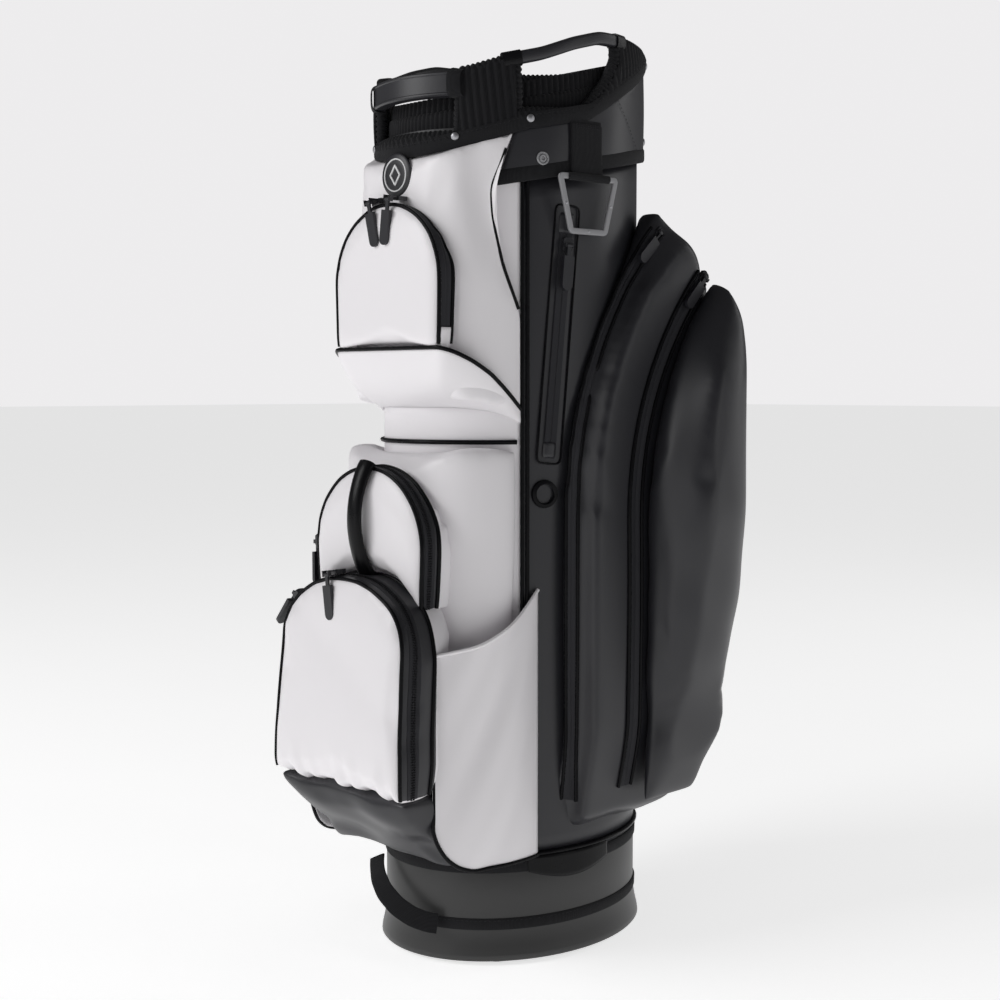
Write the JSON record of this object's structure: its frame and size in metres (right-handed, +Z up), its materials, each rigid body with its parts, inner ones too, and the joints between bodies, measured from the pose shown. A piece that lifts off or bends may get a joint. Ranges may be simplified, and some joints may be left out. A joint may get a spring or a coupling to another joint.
{
  "type": "golf staff bag",
  "caption": "Oval golf cart bag with a moulded base, full-length dividers, padded cuff with grips, zipped front and side pockets and a towel ring.",
  "frame": {"origin": "centre of the oval base on the floor", "axes": "+Z up, front pockets face -Y, towel ring on the +X side"},
  "size_m": [0.406, 0.3777, 0.882],
  "materials": {
    "white_leather": "satin",
    "black_leather": "satin",
    "black_mesh": "matte",
    "black_webbing": "matte",
    "moulded_base": "satin",
    "grip_plastic": "satin",
    "divider_padding": "matte",
    "liner_sheet": "matte",
    "stay_metal": "satin",
    "stud_metal": "satin",
    "badge_rubber": "satin",
    "zip_tape": "matte",
    "ring_metal": "satin",
    "foot_rubber": "matte",
    "slider_metal": "gloss",
    "pull_rubber": "satin"
  },
  "bodies": {
    "bag": {"base_shell": "moulded_base", "base_feet": "foot_rubber", "base_tapes": "black_webbing", "base_grab_strap": "black_webbing", "liner_tube": "liner_sheet", "stay_rods": "stay_metal", "cuff_frame": "moulded_base", "cuff_padding": "black_mesh", "cuff_skirt": "black_leather", "front_grip_bar": "grip_plastic", "side_grip_bars": "grip_plastic", "cuff_studs": "stud_metal", "divider_top": "divider_padding", "divider_sleeves": "black_mesh", "front_panel": "white_leather", "right_side_panel": "black_leather", "left_side_panel": "black_leather", "spine_panel": "black_leather", "upper_front_body": "white_leather", "valuables_pocket": "white_leather", "badge_disc": "badge_rubber", "lower_front_body": "white_leather", "middle_pocket": "white_leather", "middle_grab_handle": "black_leather", "lower_pocket": "white_leather", "lower_pocket_skirt": "black_leather", "slip_pockets": "white_leather", "right_inner_pocket": "black_leather", "left_inner_pocket": "black_leather", "right_outer_pocket": "black_leather", "left_outer_pocket": "black_leather", "front_zip_tapes": "zip_tape", "right_zip_tapes": "zip_tape", "left_zip_tapes": "zip_tape", "piping": "black_leather", "grommets": "moulded_base", "towel_loop": "black_webbing"},
    "valuables_slider_left": {"valuables_slider_left": "slider_metal"},
    "valuables_pull_left": {"valuables_pull_left": "pull_rubber"},
    "valuables_slider_right": {"valuables_slider_right": "slider_metal"},
    "valuables_pull_right": {"valuables_pull_right": "pull_rubber"},
    "middle_slider": {"middle_slider": "slider_metal"},
    "middle_pull": {"middle_pull": "pull_rubber"},
    "lower_slider_front": {"lower_slider_front": "slider_metal"},
    "lower_pull_front": {"lower_pull_front": "pull_rubber"},
    "lower_slider_left": {"lower_slider_left": "slider_metal"},
    "lower_pull_left": {"lower_pull_left": "pull_rubber"},
    "right_tall_slider": {"right_tall_slider": "slider_metal"},
    "right_tall_pull": {"right_tall_pull": "pull_rubber"},
    "right_inner_slider": {"right_inner_slider": "slider_metal"},
    "right_inner_pull": {"right_inner_pull": "pull_rubber"},
    "right_outer_slider": {"right_outer_slider": "slider_metal"},
    "right_outer_pull": {"right_outer_pull": "pull_rubber"},
    "left_tall_slider": {"left_tall_slider": "slider_metal"},
    "left_tall_pull": {"left_tall_pull": "pull_rubber"},
    "left_inner_slider": {"left_inner_slider": "slider_metal"},
    "left_inner_pull": {"left_inner_pull": "pull_rubber"},
    "left_outer_slider": {"left_outer_slider": "slider_metal"},
    "left_outer_pull": {"left_outer_pull": "pull_rubber"},
    "towel_ring": {"towel_ring": "ring_metal"}
  },
  "joints": [
    {"name": "valuables_slider_left_travel", "type": "hinge", "parent": "bag", "child": "valuables_slider_left", "pos_m": [0, -0.166, 0.645], "axis": [0, 1, 0], "range_deg": [-74, 0]},
    {"name": "valuables_pull_left_swing", "type": "hinge", "parent": "valuables_slider_left", "child": "valuables_pull_left", "pos_m": [-0.01841, -0.1705, 0.71884], "axis": [-0.9703, 0, -0.2419], "range_deg": [0, 100]},
    {"name": "valuables_slider_right_travel", "type": "hinge", "parent": "bag", "child": "valuables_slider_right", "pos_m": [0, -0.166, 0.645], "axis": [0, 1, 0], "range_deg": [0, 80]},
    {"name": "valuables_pull_right_swing", "type": "hinge", "parent": "valuables_slider_right", "child": "valuables_pull_right", "pos_m": [0.00927, -0.1705, 0.72053], "axis": [-0.9925, 0, 0.1219], "range_deg": [0, 100]},
    {"name": "middle_slider_travel", "type": "hinge", "parent": "bag", "child": "middle_slider", "pos_m": [0, -0.19, 0.399], "axis": [0, 1, 0], "range_deg": [0, 150]},
    {"name": "middle_pull_swing", "type": "hinge", "parent": "middle_slider", "child": "middle_pull", "pos_m": [-0.0849, -0.1815, 0.399], "axis": [0, 1, 0], "range_deg": [0, 100]},
    {"name": "lower_slider_front_travel", "type": "hinge", "parent": "bag", "child": "lower_slider_front", "pos_m": [0, -0.22, 0.255], "axis": [0, 1, 0], "range_deg": [-8, 36]},
    {"name": "lower_pull_front_swing", "type": "hinge", "parent": "lower_slider_front", "child": "lower_pull_front", "pos_m": [-0.01699, -0.2245, 0.37591], "axis": [-0.9903, 0, -0.1392], "range_deg": [0, 100]},
    {"name": "lower_slider_left_travel", "type": "hinge", "parent": "bag", "child": "lower_slider_left", "pos_m": [-0.034, -0.22, 0.31389], "axis": [0, 1, 0], "range_deg": [-38, 10]},
    {"name": "lower_pull_left_swing", "type": "hinge", "parent": "lower_slider_left", "child": "lower_pull_left", "pos_m": [-0.07989, -0.2115, 0.35239], "axis": [0, 1, 0], "range_deg": [0, 100]},
    {"name": "right_tall_slider_travel", "type": "slide", "parent": "bag", "child": "right_tall_slider", "axis": [-0.0233, -0.084, -0.9962], "range_m": [0, 0.17]},
    {"name": "right_tall_pull_swing", "type": "hinge", "parent": "right_tall_slider", "child": "right_tall_pull", "pos_m": [0.1158, -0.04022, 0.67967], "axis": [-0.2663, -0.9599, 0.0872], "range_deg": [0, 100]},
    {"name": "right_inner_slider_travel", "type": "hinge", "parent": "bag", "child": "right_inner_slider", "pos_m": [0.117, 0.321, 0.43], "axis": [1, 0, 0], "range_deg": [0, 48.3]},
    {"name": "right_inner_pull_swing", "type": "hinge", "parent": "right_inner_slider", "child": "right_inner_pull", "pos_m": [0.1249, 0.08218, 0.69804], "axis": [0, -0.6652, 0.7466], "range_deg": [0, 100]},
    {"name": "right_outer_slider_travel", "type": "hinge", "parent": "bag", "child": "right_outer_slider", "pos_m": [0.14, 0.356, 0.42], "axis": [1, 0, 0], "range_deg": [0, 45.5]},
    {"name": "right_outer_pull_swing", "type": "hinge", "parent": "right_outer_slider", "child": "right_outer_pull", "pos_m": [0.1479, 0.124, 0.65609], "axis": [0, -0.7009, 0.7133], "range_deg": [0, 100]},
    {"name": "left_tall_slider_travel", "type": "slide", "parent": "bag", "child": "left_tall_slider", "axis": [0.0233, -0.084, -0.9962], "range_m": [0, 0.17]},
    {"name": "left_tall_pull_swing", "type": "hinge", "parent": "left_tall_slider", "child": "left_tall_pull", "pos_m": [-0.1158, -0.04022, 0.67967], "axis": [-0.2663, 0.9599, -0.0872], "range_deg": [0, 100]},
    {"name": "left_inner_slider_travel", "type": "hinge", "parent": "bag", "child": "left_inner_slider", "pos_m": [-0.117, 0.321, 0.43], "axis": [1, 0, 0], "range_deg": [0, 48.3]},
    {"name": "left_inner_pull_swing", "type": "hinge", "parent": "left_inner_slider", "child": "left_inner_pull", "pos_m": [-0.1249, 0.08218, 0.69804], "axis": [0, 0.6652, -0.7466], "range_deg": [0, 100]},
    {"name": "left_outer_slider_travel", "type": "hinge", "parent": "bag", "child": "left_outer_slider", "pos_m": [-0.14, 0.356, 0.42], "axis": [1, 0, 0], "range_deg": [0, 45.5]},
    {"name": "left_outer_pull_swing", "type": "hinge", "parent": "left_outer_slider", "child": "left_outer_pull", "pos_m": [-0.1479, 0.124, 0.65609], "axis": [0, 0.7009, -0.7133], "range_deg": [0, 100]},
    {"name": "towel_ring_swing", "type": "hinge", "parent": "bag", "child": "towel_ring", "pos_m": [0.12142, -0.0207, 0.743], "axis": [-0.1125, -0.9936, 0], "range_deg": [0, 120]}
  ]
}
